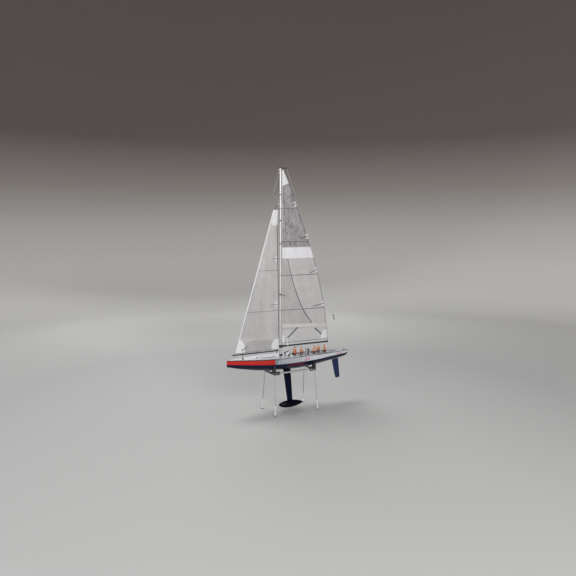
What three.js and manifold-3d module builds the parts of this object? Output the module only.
// A ready-to-sail radio-controlled racing yacht on its display stand.
// Millimetres. +X is the bow, +Y is port, +Z is up. The floor is z = 0 and the
// origin is on the floor, under the middle of the hull's length.
import * as THREE from 'three';
import { mergeVertices } from 'three/addons/utils/BufferGeometryUtils.js';
import Module from 'manifold-3d';

const wasm = await Module();
wasm.setup();

// ---------------------------------------------------------------- driving dimensions
const GAP = 0.3; // clearance between neighbouring pieces
const BIG = 400; // a length that passes right through anything it cuts

const BOW = 306; // half of the 612 mm hull
const STERN = -BOW;
const SKIN = 2; // hull moulding thickness
const SHEER = { mid: 243.4, rise: 4.7, spring: 1.1 }; // height of the hull's edge, and how it rises to the bow
const DECK_THICK = 1.2;
const DECK_CROWN = 0.5;
const COCKPIT = { aft: -212, fore: -8, halfAft: 19, halfFore: 30, corner: 12, floor: 237 };
const HATCH = { aft: 80, fore: 150, halfWidth: 17, corner: 6, overlap: 2, lip: 4 };

const MAST_X = 50;
const MAST_RADIUS = 4.5;
const MAST_WALL = 0.8;
const MAST_TOP = 1056;
const HOIST_Z = 905; // where the shrouds and the jib meet the mast
const WIRE = 0.45; // radius of a rigging wire

const SPREADERS = {
  lower: { z: 515, halfSpan: 33, sweep: 6.5 },
  upper: { z: 735, halfSpan: 32, sweep: 6 },
};
const CHAINPLATE = { x: 42, y: 53 };
const CRANE_AFT = 19;
const BACKSTAY_FOOT = { x: -283, z: 244.5 };
const ADJUSTER_Z = 399;

const BOOM_Z = 288;
const BOOM_RADIUS = 3.6;
const BOOM_AFT = -195;
const SHEET_EYE = 2; // how far the main sheet's eye hangs below the boom
const JIB_BOOM_Z = 270;
const JIB_BOOM_RADIUS = 2.9;
const JIB_PIVOT_X = 232;
const JIB_LEAD_X = 165; // the deck lead that the jib sheet comes up through
const PIVOT_EYE_HEIGHT = 7;
const JIB_BOOM_FORE = 279;
const JIB_BOOM_AFT = 61;
const SAIL_THICK = 0.6;

const FIN = { top: 192, bottom: 28, rootFore: 39, rootAft: 1, tipFore: 15, tipAft: -11 };
const BULB = { length: 121, radius: 16.5, x: -1.5, z: 24.5 };

const STOCK_X = -232;
const STOCK_RADIUS = 1.6;
const RUDDER_ARM = 12; // radius of both the tiller arm and the servo horn
const TILLER_Z = 226.4;
const RUDDER_SERVO_X = -153;

const TRAY = { aft: -95, fore: 98, halfWidth: 18, z: 200, thick: 2 };
const SAIL_SERVO = { x: -60, length: 40, width: 20, top: 227, shaftX: -50 };
const SAIL_ARM = 40;
const POST = { x: -80, height: 32 }; // mainsheet post in the cockpit
const PEDESTAL_X = -91; // winch pedestal behind it

const CRADLE = { foreX: 104, aftX: -96, thick: 9, halfWidth: 51, z: 175, beam: 6, socket: 24 };
const TUBE = { y: 45, z: 180.5, radius: 4, wall: 0.9 };
const LEG = { radius: 1.8, topY: 45, footY: 63, splay: 6 };
const FOOT = { height: 15, topRadius: 3, baseRadius: 5 };

// ---------------------------------------------------------------- shape helpers
// A smooth curve z = f(x) through a few points listed in order of x.
function through(points) {
  const last = points.length - 1;
  const slopes = points.map((point, i) => {
    const before = points[Math.max(i - 1, 0)];
    const after = points[Math.min(i + 1, last)];
    return (after[1] - before[1]) / (after[0] - before[0]);
  });
  return (x) => {
    const above = points.findIndex((point) => x <= point[0]);
    const i = above < 0 ? last - 1 : Math.max(above - 1, 0);
    const span = points[i + 1][0] - points[i][0];
    const t = (x - points[i][0]) / span;
    const ease = t * t * (3 - 2 * t);
    const start = t * (1 - t) * (1 - t) * span * slopes[i];
    const end = t * t * (t - 1) * span * slopes[i + 1];
    return points[i][1] * (1 - ease) + points[i + 1][1] * ease + start + end;
  };
}

function range(from, to, count) {
  return Array.from({ length: count + 1 }, (_, i) => from + ((to - from) * i) / count);
}

// Triangles that close a ring by lacing its first half to its second half, as on a thin curved band.
function capOf(sides) {
  const triangles = [];
  for (let low = 0, high = sides - 1; high - low > 1; low += 1, high -= 1) {
    triangles.push([low, low + 1, high]);
    if (high - low > 2) {
      triangles.push([low + 1, high - 1, high]);
    }
  }
  return triangles;
}

// A closed body from rings of points: each ring is joined to the next, and the ends are capped.
function loft(rings) {
  const sides = rings[0].length;
  const positions = rings.flat().flatMap((p) => [p.x, p.y, p.z]);
  const index = [];
  for (let i = 0; i < rings.length - 1; i += 1) {
    for (let j = 0; j < sides; j += 1) {
      const a = i * sides + j;
      const b = i * sides + ((j + 1) % sides);
      index.push(a, b, a + sides, b, b + sides, a + sides);
    }
  }
  const lastRing = (rings.length - 1) * sides;
  capOf(sides).forEach((triangle) => {
    index.push(...[...triangle].reverse());
    index.push(...triangle.map((corner) => corner + lastRing));
  });
  const geometry = new THREE.BufferGeometry();
  geometry.setAttribute('position', new THREE.Float32BufferAttribute(positions, 3));
  geometry.setIndex(index);
  return facingOut(geometry);
}

function signedVolume(geometry) {
  const p = geometry.attributes.position;
  const index = geometry.index.array;
  const [a, b, c] = [new THREE.Vector3(), new THREE.Vector3(), new THREE.Vector3()];
  let sum = 0;
  for (let i = 0; i < index.length; i += 3) {
    a.fromBufferAttribute(p, index[i]);
    b.fromBufferAttribute(p, index[i + 1]);
    c.fromBufferAttribute(p, index[i + 2]);
    sum += a.dot(b.cross(c));
  }
  return sum;
}

function facingOut(geometry) {
  if (signedVolume(geometry) < 0) {
    geometry.setIndex(Array.from(geometry.index.array).reverse());
  }
  return geometry;
}

function toSolid(geometry) {
  const bare = geometry.clone();
  bare.deleteAttribute('normal');
  bare.deleteAttribute('uv');
  const merged = mergeVertices(bare, 1e-4);
  return new wasm.Manifold(
    new wasm.Mesh({
      numProp: 3,
      vertProperties: new Float32Array(merged.attributes.position.array),
      triVerts: new Uint32Array(merged.index.array),
    }),
  );
}

function toGeometry(solid) {
  const mesh = solid.getMesh();
  const geometry = new THREE.BufferGeometry();
  geometry.setAttribute('position', new THREE.BufferAttribute(mesh.vertProperties, 3));
  geometry.setIndex(new THREE.BufferAttribute(mesh.triVerts, 1));
  return geometry;
}

function join(...geometries) {
  return toGeometry(geometries.map(toSolid).reduce((sum, next) => sum.add(next)));
}

function cut(geometry, ...tools) {
  return toGeometry(tools.map(toSolid).reduce((rest, tool) => rest.subtract(tool), toSolid(geometry)));
}

function common(geometry, other) {
  return toGeometry(toSolid(geometry).intersect(toSolid(other)));
}

function at(x, y, z) {
  return new THREE.Vector3(x, y, z);
}

function box(low, high) {
  const size = at(...high).sub(at(...low));
  const middle = at(...high).add(at(...low)).multiplyScalar(0.5);
  return new THREE.BoxGeometry(size.x, size.y, size.z).translate(middle.x, middle.y, middle.z);
}

// A round bar between two points.
function rod(from, to, radius, sides = 8, endRadius = radius) {
  const along = to.clone().sub(from);
  const geometry = new THREE.CylinderGeometry(endRadius, radius, along.length(), sides);
  geometry.applyQuaternion(
    new THREE.Quaternion().setFromUnitVectors(at(0, 1, 0), along.clone().normalize()),
  );
  const middle = from.clone().add(to).multiplyScalar(0.5);
  return geometry.translate(middle.x, middle.y, middle.z);
}

function ball(centre, radius, detail = 1) {
  return new THREE.IcosahedronGeometry(radius, detail).translate(centre.x, centre.y, centre.z);
}

// A wire through a list of points, rounded where it bends.
function wire(points, radius = WIRE) {
  const runs = points.slice(1).map((point, i) => rod(points[i], point, radius));
  const bends = points.slice(1, -1).map((point) => ball(point, radius * 1.2, 0));
  return runs.length > 1 ? join(...runs, ...bends) : runs[0];
}

// A turned shape about a vertical axis, from [radius, z] pairs that start and end on the axis.
function turned(profile, x = 0, y = 0, sides = 16) {
  const points = profile.map(([radius, z]) => new THREE.Vector2(radius, z));
  return new THREE.LatheGeometry(points, sides).rotateX(Math.PI / 2).translate(x, y, 0);
}

// A pipe about a vertical axis: an outer wall less its bore.
function pipe(outer, inner, low, high, x = 0, y = 0, sides = 16) {
  const wall = [[inner, low], [outer, low], [outer, high], [inner, high], [inner, low]];
  return turned(wall, x, y, sides);
}

// A block with rounded corners in plan, between two heights, which may widen towards its fore end.
function roundedBlock(aft, fore, halfAft, halfFore, corner, low, high) {
  const shape = new THREE.Shape();
  shape.moveTo(aft + corner, -halfAft);
  shape.lineTo(fore - corner, -halfFore);
  shape.quadraticCurveTo(fore, -halfFore, fore, -halfFore + corner);
  shape.lineTo(fore, halfFore - corner);
  shape.quadraticCurveTo(fore, halfFore, fore - corner, halfFore);
  shape.lineTo(aft + corner, halfAft);
  shape.quadraticCurveTo(aft, halfAft, aft, halfAft - corner);
  shape.lineTo(aft, -halfAft + corner);
  shape.quadraticCurveTo(aft, -halfAft, aft + corner, -halfAft);
  const options = { depth: high - low, bevelEnabled: false, curveSegments: 3 };
  return new THREE.ExtrudeGeometry(shape, options).translate(0, 0, low);
}

// ---------------------------------------------------------------- hull form
const keelLine = through([
  [STERN, 227], [-288, 214], [-191, 200], [-77, 186.5], [3, 183.5], [141, 191], [236, 206], [BOW, 222],
]);
const halfBeam = through([
  [STERN, 3], [-298, 9], [-280, 16], [-250, 23], [-212, 30], [-128, 44.5],
  [-40, 54.5], [60, 60], [128, 55.5], [195, 39], [250, 21.5], [BOW, 1.6],
]);

function sheer(x) {
  const share = x / BOW;
  return SHEER.mid + SHEER.rise * share + SHEER.spring * share * share;
}

// Height of the hull's underside at a point, for a hull grown outwards by a small amount.
function bottomAt(x, y, grow = 0) {
  const share = Math.min(Math.abs(y) / (halfBeam(x) + grow), 1);
  return sheer(x) - (sheer(x) - keelLine(x) + grow) * Math.sqrt(1 - share * share);
}

function hullSection(x, grow, topZ) {
  const angles = range(-Math.PI / 2, Math.PI / 2, 14);
  const points = angles.map((angle) => {
    const depth = (sheer(x) - keelLine(x) + grow) * Math.cos(angle);
    return at(x, (halfBeam(x) + grow) * Math.sin(angle), sheer(x) - depth);
  });
  if (topZ) {
    points.push(at(x, halfBeam(x) + grow, topZ), at(x, -halfBeam(x) - grow, topZ));
  }
  return points;
}

const STATIONS = [STERN, -299, -288, -268, -235, -190, -130, -60, 10, 70, 125, 175, 220, 260, 288, BOW];

function hullBody(grow, from, to, topZ) {
  const inside = STATIONS.filter((x) => x > from + 1 && x < to - 1);
  return loft([from, ...inside, to].map((x) => hullSection(x, grow, topZ)));
}

// The hull grown by one gap, used to trim whatever meets the outside of it.
const hullClearance = hullBody(GAP, STERN, BOW, SHEER.mid + 60);

function deckHeight(x, y) {
  const share = Math.min(Math.abs(y) / halfBeam(x), 1);
  return sheer(x) + GAP + DECK_THICK + DECK_CROWN * (1 - share * share);
}

// A slab whose top follows the deck, raised by a lift and of a given thickness.
function deckSlab(lift, thick, inset = 0) {
  const ends = [STERN + inset, BOW - inset];
  const xs = [ends[0], ...STATIONS.filter((x) => x > ends[0] + 1 && x < ends[1] - 1), ends[1]];
  const shares = range(-1, 1, 6);
  return loft(
    xs.map((x) => {
      const ys = shares.map((share) => share * (halfBeam(x) - inset));
      const top = ys.map((y) => at(x, y, deckHeight(x, y) + lift));
      const under = ys.map((y) => at(x, y, deckHeight(x, y) + lift - thick)).reverse();
      return [...top, ...under];
    }),
  );
}

function hullShell() {
  const outside = hullBody(0, STERN, BOW);
  const inside = hullBody(-SKIN, STERN + SKIN, BOW - 11, SHEER.mid + 30);
  const stockHole = rod(at(STOCK_X, 0, 190), at(STOCK_X, 0, 215), 3.6, 16);
  return cut(outside, inside, stockHole);
}

function deck() {
  const plate = deckSlab(0, DECK_THICK);
  const wellBody = common(deckSlab(0, 40, 8), cockpitBlock(DECK_THICK));
  const top = deckHeight(JIB_LEAD_X, 0);
  const leadProfile = [[0, top - 4], [4, top - 4], [4, top + 1.5], [2, top + 4], [0, top + 4]];
  const sheetLead = turned(leadProfile, JIB_LEAD_X, 0, 12);
  const { x, z } = BACKSTAY_FOOT;
  const sternBase = box([x - 5, -3, z - 7], [x + 5, 3, z - GAP - 0.2]);
  return join(cut(join(plate, wellBody), cockpitBlock(0), hatchBlock(0)), sheetLead, sternBase);
}

// The cockpit well's space, or with a wall its outside.
function cockpitBlock(wall) {
  const { aft, fore, halfAft, halfFore, corner, floor } = COCKPIT;
  const [wideAft, wideFore] = [halfAft + wall, halfFore + wall];
  return roundedBlock(aft - wall, fore + wall, wideAft, wideFore, corner + wall, floor - wall, BIG);
}

// The hatch hole's space, or a block larger all round by a margin.
function hatchBlock(margin) {
  const { aft, fore, halfWidth, corner } = HATCH;
  const half = halfWidth + margin;
  return roundedBlock(aft - margin, fore + margin, half, half, corner + margin, 200, BIG);
}

function hatchCover() {
  const lid = common(deckSlab(DECK_THICK + GAP, DECK_THICK, 4), hatchBlock(HATCH.overlap));
  const plug = common(deckSlab(GAP + 0.8, HATCH.lip, 4), hatchBlock(-GAP - 0.2));
  return join(lid, plug);
}

// ---------------------------------------------------------------- foils
// One slice of a symmetric foil from its leading to its trailing edge.
function foilSlice(z, fore, aft, thick) {
  const chord = fore - aft;
  const shares = [0, 0.04, 0.15, 0.35, 0.6, 0.85, 1];
  const half = (s) => Math.max(thick * (1.48 * Math.sqrt(s) - 0.63 * s - 0.85 * s * s), 0.25);
  const port = shares.map((s) => at(fore - s * chord, half(s), z));
  const starboard = shares.map((s) => at(fore - s * chord, -half(s), z)).reverse();
  return [...port, ...starboard];
}

function keelFin() {
  const { top, bottom, rootFore, rootAft, tipFore, tipAft } = FIN;
  const blade = loft(
    range(0, 1, 3).map((t) => {
      const fore = rootFore + (tipFore - rootFore) * t;
      const aft = rootAft + (tipAft - rootAft) * t;
      return foilSlice(top + (bottom - top) * t, fore, aft, 5.5 - 1.5 * t);
    }),
  );
  return cut(blade, hullClearance, keelBulb(GAP));
}

function keelBulb(grow = 0) {
  const { length, radius, x, z } = BULB;
  const profile = range(0, 1, 14).map((t) => {
    const shape = Math.pow(Math.sin(Math.PI * Math.pow(t, 0.85)), 0.62);
    const along = (length + 2 * grow) * (0.5 - t);
    return [t === 0 || t === 1 ? 0 : shape * (radius + grow), along];
  });
  return facingOut(turnedGeometry(profile)).rotateY(Math.PI / 2).translate(x, 0, z);
}

function turnedGeometry(profile) {
  const bare = turned(profile);
  bare.deleteAttribute('normal');
  bare.deleteAttribute('uv');
  return mergeVertices(bare, 1e-4);
}

function rudder() {
  const blade = loft([
    foilSlice(200.5, -217, -252, 4.6),
    foilSlice(160, -226, -256, 4.2),
    foilSlice(122, -235, -260, 3.4),
    foilSlice(114, -238.5, -259.5, 2.6),
  ]);
  const stock = rod(at(STOCK_X, 0, 180), at(STOCK_X, 0, TILLER_Z + 4), STOCK_RADIUS, 12);
  return join(blade, stock);
}

// ---------------------------------------------------------------- spars and rigging
function mast() {
  const tube = pipe(MAST_RADIUS, MAST_RADIUS - MAST_WALL, mastFoot(), MAST_TOP, MAST_X);
  const holes = Object.values(SPREADERS).flatMap((spreader) => spreaderArms(spreader, 1.4 + GAP));
  const strutHole = rod(at(MAST_X - 8, 0, 944), at(MAST_X + 40, 0, 950), 1.2 + GAP);
  const tang = box([MAST_X + 3.9, -1, HOIST_Z - 3], [MAST_X + 10, 1, HOIST_Z + 3]);
  return cut(join(tube, tang), ...holes, strutHole);
}

function mastFoot() {
  return deckHeight(MAST_X, 0) + 3.2;
}

function mastStep() {
  const base = deckHeight(MAST_X, 0) + 0.4;
  const spigot = MAST_RADIUS - MAST_WALL - 0.4;
  const rim = base + 2.5;
  const profile = [[0, base], [9, base], [8, rim], [spigot, rim], [spigot, rim + 10], [0, rim + 10]];
  return turned(profile, MAST_X);
}

function mastheadCrane() {
  const plug = MAST_RADIUS - MAST_WALL - 0.4;
  const low = MAST_TOP + GAP;
  const arm = box([CRANE_AFT, -1.5, low], [MAST_X + 7, 1.5, low + 3]);
  const cap = rod(at(MAST_X, 0, low), at(MAST_X, 0, low + 4.5), MAST_RADIUS, 12);
  const stem = rod(at(MAST_X, 0, low - 8), at(MAST_X, 0, low + 1), plug, 12);
  const aftBall = ball(at(CRANE_AFT, 0, low + 1.5), 2.6);
  const foreBall = ball(at(MAST_X + 7, 0, low + 1.5), 2.6);
  return join(arm, cap, stem, aftBall, foreBall);
}

function spreaderTip({ z, halfSpan, sweep }, side) {
  return at(MAST_X - sweep, side * halfSpan, z);
}

function spreaderArms(spreader, radius) {
  const root = at(MAST_X, 0, spreader.z);
  return [-1, 1].map((side) => rod(root, spreaderTip(spreader, side), radius));
}

function spreader(size) {
  const tips = [-1, 1].map((side) => ball(spreaderTip(size, side), 2));
  return join(...spreaderArms(size, 1.4), ball(at(MAST_X, 0, size.z), 1.7, 0), ...tips);
}

function jumperStrut() {
  const tip = at(MAST_X + 30, 0, 949);
  return join(rod(at(MAST_X, 0, 945.25), tip, 1.2), ball(tip, 1.9));
}

// The jumper wire runs from the masthead over the strut's tip and back to the mast.
function jumperStay() {
  const clear = MAST_RADIUS + WIRE + GAP;
  return wire([
    at(MAST_X + clear, 0, MAST_TOP - 4),
    at(MAST_X + 33.6, 0, 949.5),
    at(MAST_X + clear, 0, 914),
  ]);
}

function shroud(side) {
  const outside = (size) => spreaderTip(size, side).add(at(0, side * (2 + WIRE + GAP), 0));
  return wire([
    at(CHAINPLATE.x, side * CHAINPLATE.y, chainplateTop() + GAP),
    outside(SPREADERS.lower),
    outside(SPREADERS.upper),
    at(MAST_X - 1, side * (MAST_RADIUS + WIRE + GAP), HOIST_Z),
  ]);
}

function chainplateTop() {
  return deckHeight(CHAINPLATE.x, CHAINPLATE.y) + 8;
}

function chainplate(side) {
  const base = deckHeight(CHAINPLATE.x, CHAINPLATE.y - 3) + 0.4;
  const y = side * CHAINPLATE.y;
  const foot = box([CHAINPLATE.x - 5, y - 2.5, base], [CHAINPLATE.x + 5, y + 2.5, base + 1.5]);
  const screw = rod(at(CHAINPLATE.x, y, base + 1), at(CHAINPLATE.x, y, chainplateTop()), 1.3);
  return join(foot, screw);
}

const BACKSTAY_HEAD = { x: CRANE_AFT, z: MAST_TOP - 1.5 };

function backstayPoint(z) {
  const share = (z - BACKSTAY_FOOT.z) / (BACKSTAY_HEAD.z - BACKSTAY_FOOT.z);
  return at(BACKSTAY_FOOT.x + (BACKSTAY_HEAD.x - BACKSTAY_FOOT.x) * share, 0, z);
}

function backstay() {
  return rod(backstayPoint(BACKSTAY_FOOT.z), backstayPoint(BACKSTAY_HEAD.z), WIRE);
}

function backstayAdjuster() {
  const low = backstayPoint(ADJUSTER_Z - 13);
  const high = backstayPoint(ADJUSTER_Z + 13);
  const bore = rod(backstayPoint(ADJUSTER_Z - 40), backstayPoint(ADJUSTER_Z + 40), WIRE + 0.4);
  return cut(rod(low, high, 2.1), bore);
}

// ---------------------------------------------------------------- main rig
function gooseneck() {
  const collar = pipe(7.2, MAST_RADIUS + 0.4, BOOM_Z - 6, BOOM_Z + 6, MAST_X);
  const socket = box([33, -3.6, BOOM_Z - 4.6], [44.4, 3.6, BOOM_Z + 4.6]);
  return join(collar, socket);
}

function mainBoom() {
  const fore = 33 - GAP;
  const spar = rod(at(fore, 0, BOOM_Z), at(BOOM_AFT + 2, 0, BOOM_Z), BOOM_RADIUS, 12);
  const cap = rod(at(BOOM_AFT + 10, 0, BOOM_Z), at(BOOM_AFT, 0, BOOM_Z), BOOM_RADIUS + 0.8, 12);
  const sheetEye = box([POST.x - 2, -1, BOOM_Z - BOOM_RADIUS - SHEET_EYE], [POST.x + 2, 1, BOOM_Z]);
  return join(spar, cap, sheetEye);
}

function vang() {
  const ring = pipe(6.6, MAST_RADIUS + 0.4, mastFoot() + 0.6, mastFoot() + 4, MAST_X);
  const start = at(44, 0, mastFoot() + 2);
  const end = at(-38, 0, BOOM_Z - BOOM_RADIUS - GAP - 0.8);
  const point = (share) => start.clone().lerp(end, share);
  const screw = rod(point(0.14), point(0.42), 2.2);
  return join(ring, rod(start, end, 0.7), screw);
}

// A thin sail between a luff and a leech, both given as x at a height, with a little belly to port.
function sail(luff, leech, foot, head, belly, rows, columns) {
  const heights = range(foot, head, rows);
  const shares = range(0, 1, columns);
  const ring = (z) => {
    const chord = luff(z) - leech(z);
    const depth = (s) => belly * chord * 4 * s * (1 - s) * (1 - 0.3 * s);
    const line = (side) =>
      shares.map((s) => at(luff(z) - s * chord, depth(s) + (side * SAIL_THICK) / 2, z));
    return [...line(1), ...line(-1).reverse()];
  };
  return loft(heights.map(ring));
}

const mainLeech = through([
  [301, -194], [445, -175], [599, -139], [673, -116], [748, -89], [889, -35], [996, 8], [1050, 35],
]);

function mainsail() {
  return sail(() => MAST_X - MAST_RADIUS - 1.5, mainLeech, 301, 1050, 0.03, 16, 6);
}

// ---------------------------------------------------------------- jib rig
function jibBoom() {
  const capStart = JIB_BOOM_FORE - 13;
  const spar = rod(at(JIB_BOOM_AFT, 0, JIB_BOOM_Z), at(capStart + 2, 0, JIB_BOOM_Z), JIB_BOOM_RADIUS, 12);
  const foreCap = rod(
    at(capStart, 0, JIB_BOOM_Z), at(JIB_BOOM_FORE, 0, JIB_BOOM_Z), JIB_BOOM_RADIUS + 0.5, 12, 2.4,
  );
  const aftCap = rod(at(JIB_BOOM_AFT, 0, JIB_BOOM_Z), at(JIB_BOOM_AFT + 8, 0, JIB_BOOM_Z), 3.5, 12);
  return join(spar, foreCap, aftCap);
}

function jibSwivel() {
  const top = JIB_BOOM_Z - JIB_BOOM_RADIUS - GAP;
  const low = deckHeight(JIB_PIVOT_X, 0) + 0.4 + PIVOT_EYE_HEIGHT + GAP;
  const head = rod(at(JIB_PIVOT_X, 0, top - 2.5), at(JIB_PIVOT_X, 0, top), 2.6, 12);
  const pin = rod(at(JIB_PIVOT_X, 0, low), at(JIB_PIVOT_X, 0, top - 1), 1.1);
  return join(head, pin);
}

function jibPivotEye() {
  const base = deckHeight(JIB_PIVOT_X, 0) + 0.4;
  const top = base + PIVOT_EYE_HEIGHT;
  const profile = [[0, base], [5, base], [4.4, base + 2], [2.4, base + 3], [2.2, top], [0, top]];
  return turned(profile, JIB_PIVOT_X, 0, 12);
}

function jibSail() {
  const luff = through([[276, 266], [880, 84]]);
  const leech = through([[276, 59], [314, 58], [560, 60.5], [810, 65], [880, 62]]);
  const cloth = sail(luff, leech, 276, 880, 0.028, 12, 6);
  const luffWire = wire([at(luff(277), 0, 277), at(luff(879), 0, 879)], 0.7);
  const halyard = wire([at(luff(876) - 2, 0, 876), at(MAST_X + 14, 0, 905)], 0.6);
  return join(cloth, luffWire, halyard);
}

// ---------------------------------------------------------------- deck fittings and crew
function mainsheetPost() {
  const base = COCKPIT.floor + 0.4;
  const top = base + POST.height;
  const profile = [[0, base], [5, base], [4.5, base + 3], [3, top - 6], [3.4, top - 1], [0, top]];
  return turned(profile, POST.x, 0, 12);
}

function mainSheet() {
  const low = COCKPIT.floor + 0.4 + POST.height + GAP;
  return rod(at(POST.x, 0, low), at(POST.x, 0, BOOM_Z - BOOM_RADIUS - SHEET_EYE - GAP), WIRE);
}

function jibSheet() {
  const low = deckHeight(JIB_LEAD_X, 0) + 4 + GAP;
  return rod(at(JIB_LEAD_X, 0, low), at(JIB_LEAD_X, 0, JIB_BOOM_Z - JIB_BOOM_RADIUS - GAP), WIRE);
}

function winchPedestal() {
  const base = COCKPIT.floor + 0.4;
  const post = rod(at(PEDESTAL_X, 0, base), at(PEDESTAL_X, 0, base + 26), 3.2, 10, 2.4);
  const handles = rod(at(PEDESTAL_X, -8, base + 24), at(PEDESTAL_X, 8, base + 24), 1.2);
  return join(post, handles);
}

// A crouching crew member, 40 mm high at full size. Heading 0 faces the bow.
function crewFigure({ x, y, heading, lean, size = 1 }) {
  const floor = COCKPIT.floor + 3 * GAP;
  const hips = (side) => at(-2, side * 2.4, 12);
  const knee = (side) => at(5, side * 3.4, 11);
  const hand = (side) => at(9 + lean, side * 4, 20);
  const chest = at(lean, 0, 27);
  const shoulder = (side) => at(lean, side * 4.4, 27);
  const pieces = [
    rod(at(-2, 0, 11), chest, 4.2, 6, 4.8),
    ball(at(lean + 0.5, 0, 36), 4.2),
    rod(chest, at(lean, 0, 33), 2.2, 5),
  ];
  [-1, 1].forEach((side) => {
    pieces.push(
      rod(hips(side), knee(side), 2.4, 5, 2.6),
      rod(knee(side).add(at(0, 0, 2)), at(1, side * 3.4, 0.8), 2.4, 5, 2),
      rod(shoulder(side), hand(side), 1.9, 5),
    );
  });
  const figure = join(...pieces).scale(size, size, size);
  return figure.rotateZ(THREE.MathUtils.degToRad(heading)).translate(x, y, floor);
}

// The foremost figure is smaller, because the vang swings over its head.
const CREW = [
  { x: -18, y: 6, heading: 25, lean: 3, size: 0.86 },
  { x: -32, y: -10, heading: -20, lean: 4 },
  { x: -48, y: 10, heading: 80, lean: 2 },
  { x: -114, y: 8, heading: 180, lean: 3 },
  { x: -145, y: -1, heading: 60, lean: 2 },
  { x: -175, y: 8, heading: 10, lean: 3 },
];

// ---------------------------------------------------------------- radio gear
function radioTray() {
  const { aft, fore, halfWidth, z, thick } = TRAY;
  const plate = roundedBlock(aft, fore, halfWidth, halfWidth, 5, z, z + thick);
  const posts = [-70, 70].map((x) => box([x - 4, -5, bottomAt(x, 0, -SKIN) + 2], [x + 4, 5, z + 1]));
  const switchCase = box([80, -16, z + 1], [94, -6, z + 12]);
  return join(plate, ...posts, switchCase);
}

function switchLever() {
  const low = TRAY.z + 12 + GAP;
  const foot = box([82, -13, low], [88, -9, low + 1.2]);
  const knob = box([83.5, -12.5, low + 1], [86.5, -9.5, low + 4.5]);
  return join(foot, knob);
}

// A servo: a case with mounting ears and a gear-case step under its shaft.
function servo(x, length, width, low, top, shaftX) {
  const half = width / 2;
  const body = box([x - length / 2, -half, low], [x + length / 2, half, top - 2]);
  const ears = box([x - length / 2 - 4, -half, top - 10], [x + length / 2 + 4, half, top - 7.5]);
  const step = rod(at(shaftX, 0, top - 3), at(shaftX, 0, top), Math.min(half, 6), 12);
  return join(body, ears, step);
}

function sailServo() {
  const { x, length, width, top, shaftX } = SAIL_SERVO;
  return servo(x, length, width, TRAY.z + TRAY.thick + GAP, top, shaftX);
}

function rudderServo() {
  return servo(RUDDER_SERVO_X - 7, 27, 13, 205, TILLER_Z - GAP, RUDDER_SERVO_X);
}

// An arm with a round hub on a shaft, and a small eye at its far end.
function arm(shaft, tip, thick, hubRadius, bore) {
  const top = shaft.clone().add(at(0, 0, thick));
  const hub = rod(shaft, top, hubRadius, 12);
  const eye = rod(tip, tip.clone().add(at(0, 0, thick)), 2.2, 10);
  const along = tip.clone().sub(shaft);
  const bar = box([0, -1.6, 0], [along.length(), 1.6, thick]);
  bar.rotateZ(Math.atan2(along.y, along.x)).translate(shaft.x, shaft.y, shaft.z);
  const whole = join(hub, eye, bar);
  return bore ? cut(whole, rod(at(shaft.x, shaft.y, 190), at(shaft.x, shaft.y, 240), bore, 12)) : whole;
}

function tillerArm() {
  const z = TILLER_Z;
  return arm(at(STOCK_X, 0, z), at(STOCK_X, RUDDER_ARM, z), 2.6, 4, STOCK_RADIUS + GAP);
}

function rudderHorn() {
  const z = TILLER_Z;
  return arm(at(RUDDER_SERVO_X, 0, z), at(RUDDER_SERVO_X, RUDDER_ARM, z), 2.6, 4, 0);
}

function rudderPushrod() {
  const z = TILLER_Z + 2.6 + GAP + 0.8;
  return rod(at(STOCK_X, RUDDER_ARM, z), at(RUDDER_SERVO_X, RUDDER_ARM, z), 0.8);
}

function sailArm() {
  const z = SAIL_SERVO.top + GAP;
  return arm(at(SAIL_SERVO.shaftX, 0, z), at(SAIL_SERVO.shaftX + SAIL_ARM, 0, z), 3, 6, 0);
}

function rudderTube() {
  return pipe(3.2, STOCK_RADIUS + GAP + 0.1, keelLine(STOCK_X) + 0.5, TILLER_Z - 1, STOCK_X);
}

// ---------------------------------------------------------------- display stand
// A thin beam across the boat with an arm up to the hull at each end, and a socket on its inner face
// for each long tube.
function cradle(x, inwards) {
  const { thick, halfWidth, z, beam, socket } = CRADLE;
  const armTop = z + 38;
  const half = [
    [halfWidth, z], [halfWidth, z + 15], [halfWidth - 3, armTop], [36, armTop], [33, z + beam + 18], [24, z + beam],
  ];
  const mirrored = half.map(([y, height]) => [-y, height]).reverse();
  const shape = new THREE.Shape([...half, ...mirrored].map(([y, height]) => new THREE.Vector2(y, height)));
  const plate = new THREE.ExtrudeGeometry(shape, { depth: thick, bevelEnabled: false });
  plate.rotateX(Math.PI / 2).rotateZ(Math.PI / 2).translate(x - thick / 2, 0, 0);
  const far = x + inwards * socket;
  const sockets = [-1, 1].map((side) => {
    const middle = side * TUBE.y;
    return box([Math.min(x, far), middle - 6.5, z - 0.5], [Math.max(x, far), middle + 6.5, z + 12]);
  });
  const bores = [-1, 1].map((side) =>
    rod(at(x - 40, side * TUBE.y, TUBE.z), at(x + 40, side * TUBE.y, TUBE.z), TUBE.radius + GAP, 12),
  );
  return cut(join(plate, ...sockets), hullClearance, ...bores);
}

function standTube(side) {
  const length = CRADLE.foreX - CRADLE.aftX + CRADLE.thick;
  const middle = (CRADLE.foreX + CRADLE.aftX) / 2;
  const tube = pipe(TUBE.radius, TUBE.radius - TUBE.wall, -length / 2, length / 2, 0, 0, 12);
  return tube.rotateY(Math.PI / 2).translate(middle, side * TUBE.y, TUBE.z);
}

function legEnds(end, side) {
  const x = end > 0 ? CRADLE.foreX : CRADLE.aftX;
  const top = at(x, side * LEG.topY, CRADLE.z - 0.5 - GAP - 0.2);
  const foot = at(x + end * LEG.splay, side * LEG.footY, FOOT.height + GAP + 0.4);
  return [foot, top];
}

function standLeg(end, side) {
  const [foot, top] = legEnds(end, side);
  return rod(foot, top, LEG.radius);
}

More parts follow.
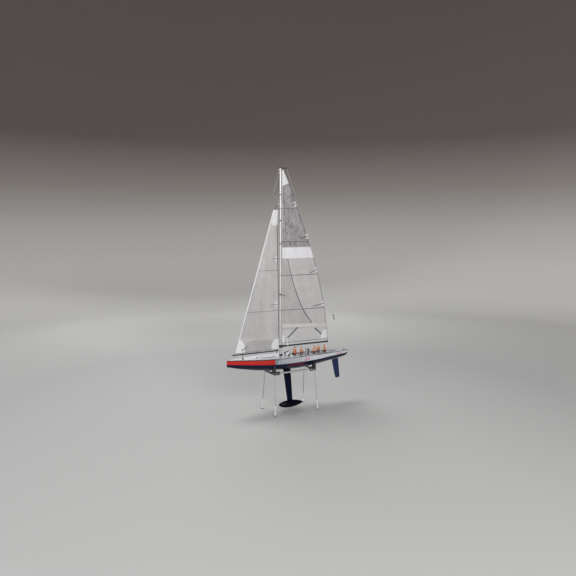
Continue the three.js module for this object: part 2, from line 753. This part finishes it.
function standFoot(end, side) {
  const [foot] = legEnds(end, side);
  const { height, topRadius, baseRadius } = FOOT;
  const profile = [
    [0, 0], [baseRadius - 0.8, 0], [baseRadius, 1], [baseRadius, 4], [topRadius, height], [0, height],
  ];
  return turned(profile, foot.x, foot.y, 12);
}

// ---------------------------------------------------------------- materials
function finish(color, roughness, metalness = 0) {
  return new THREE.MeshStandardMaterial({ color, roughness, metalness });
}

const FINISH = {
  blackPlastic: finish(0x17181b, 0.45),
  aluminium: finish(0xc9ccd1, 0.3, 0.9),
  steel: finish(0xb9bcc0, 0.3, 1),
  clearFoot: finish(0xe4e6e8, 0.35),
  hullPaint: finish(0xb9362c, 0.3),
  deckPlastic: finish(0xd8d9e2, 0.4),
  navyPaint: finish(0x161c38, 0.35),
  rudderBlue: finish(0x24315f, 0.35),
  sailFilm: finish(0xb4b4b6, 0.5),
  crewOrange: finish(0xc7643c, 0.6),
  greyPlastic: finish(0x9a9ca3, 0.5),
  cord: finish(0xe8e8e4, 0.8),
};

// ---------------------------------------------------------------- assembly
const yacht = new THREE.Group();

function body(pieces) {
  const group = new THREE.Group();
  pieces.forEach(([name, geometry, material]) => {
    const mesh = new THREE.Mesh(geometry, material);
    mesh.name = name;
    group.add(mesh);
  });
  yacht.add(group);
}

const SIDES = [['port', 1], ['starboard', -1]];
const ENDS = [['fore', 1], ['aft', -1]];

body([
  ['stand_cradle_fore', cradle(CRADLE.foreX, -1), FINISH.blackPlastic],
  ['stand_cradle_aft', cradle(CRADLE.aftX, 1), FINISH.blackPlastic],
  ...SIDES.map(([word, side]) => [`stand_tube_${word}`, standTube(side), FINISH.aluminium]),
  ...ENDS.flatMap(([place, end]) =>
    SIDES.flatMap(([word, side]) => [
      [`stand_leg_${place}_${word}`, standLeg(end, side), FINISH.steel],
      [`stand_foot_${place}_${word}`, standFoot(end, side), FINISH.clearFoot],
    ]),
  ),
]);

body([
  ['hull_shell', hullShell(), FINISH.hullPaint],
  ['deck', deck(), FINISH.deckPlastic],
  ['keel_fin', keelFin(), FINISH.navyPaint],
  ['keel_bulb', keelBulb(), FINISH.navyPaint],
  ['rudder_tube', rudderTube(), FINISH.aluminium],
  ['mast_step', mastStep(), FINISH.blackPlastic],
  ['mast', mast(), FINISH.aluminium],
  ['masthead_crane', mastheadCrane(), FINISH.blackPlastic],
  ['jumper_strut', jumperStrut(), FINISH.steel],
  ['jumper_stay', jumperStay(), FINISH.steel],
  ['spreader_lower', spreader(SPREADERS.lower), FINISH.aluminium],
  ['spreader_upper', spreader(SPREADERS.upper), FINISH.aluminium],
  ...SIDES.map(([word, side]) => [`shroud_${word}`, shroud(side), FINISH.steel]),
  ...SIDES.map(([word, side]) => [`chainplate_${word}`, chainplate(side), FINISH.steel]),
  ['backstay', backstay(), FINISH.steel],
  ['backstay_adjuster', backstayAdjuster(), FINISH.blackPlastic],
  ['jib_pivot_eye', jibPivotEye(), FINISH.blackPlastic],
  ['mainsheet_post', mainsheetPost(), FINISH.greyPlastic],
  ['winch_pedestal', winchPedestal(), FINISH.blackPlastic],
  ...CREW.map((member, i) => [`crew_${i + 1}`, crewFigure(member), FINISH.crewOrange]),
  ['radio_tray', radioTray(), FINISH.greyPlastic],
  ['battery_box', box([102, -14, 203], [148, 14, 219]), FINISH.blackPlastic],
  ['receiver', box([15, -11, 202.3], [58, 11, 215]), FINISH.blackPlastic],
  ['sail_servo', sailServo(), FINISH.blackPlastic],
  ['rudder_servo', rudderServo(), FINISH.blackPlastic],
  ['main_sheet', mainSheet(), FINISH.cord],
  ['jib_sheet', jibSheet(), FINISH.cord],
]);

body([
  ['gooseneck', gooseneck(), FINISH.blackPlastic],
  ['main_boom', mainBoom(), FINISH.blackPlastic],
  ['vang', vang(), FINISH.blackPlastic],
  ['mainsail', mainsail(), FINISH.sailFilm],
]);

body([
  ['jib_boom', jibBoom(), FINISH.blackPlastic],
  ['jib_swivel', jibSwivel(), FINISH.blackPlastic],
  ['jib_sail', jibSail(), FINISH.sailFilm],
]);

body([
  ['rudder', rudder(), FINISH.rudderBlue],
  ['tiller_arm', tillerArm(), FINISH.blackPlastic],
  ['rudder_horn', rudderHorn(), FINISH.blackPlastic],
  ['rudder_pushrod', rudderPushrod(), FINISH.steel],
  ['sail_arm', sailArm(), FINISH.blackPlastic],
  ['hatch_cover', hatchCover(), FINISH.deckPlastic],
  ['switch_lever', switchLever(), FINISH.blackPlastic],
]);

export default yacht;
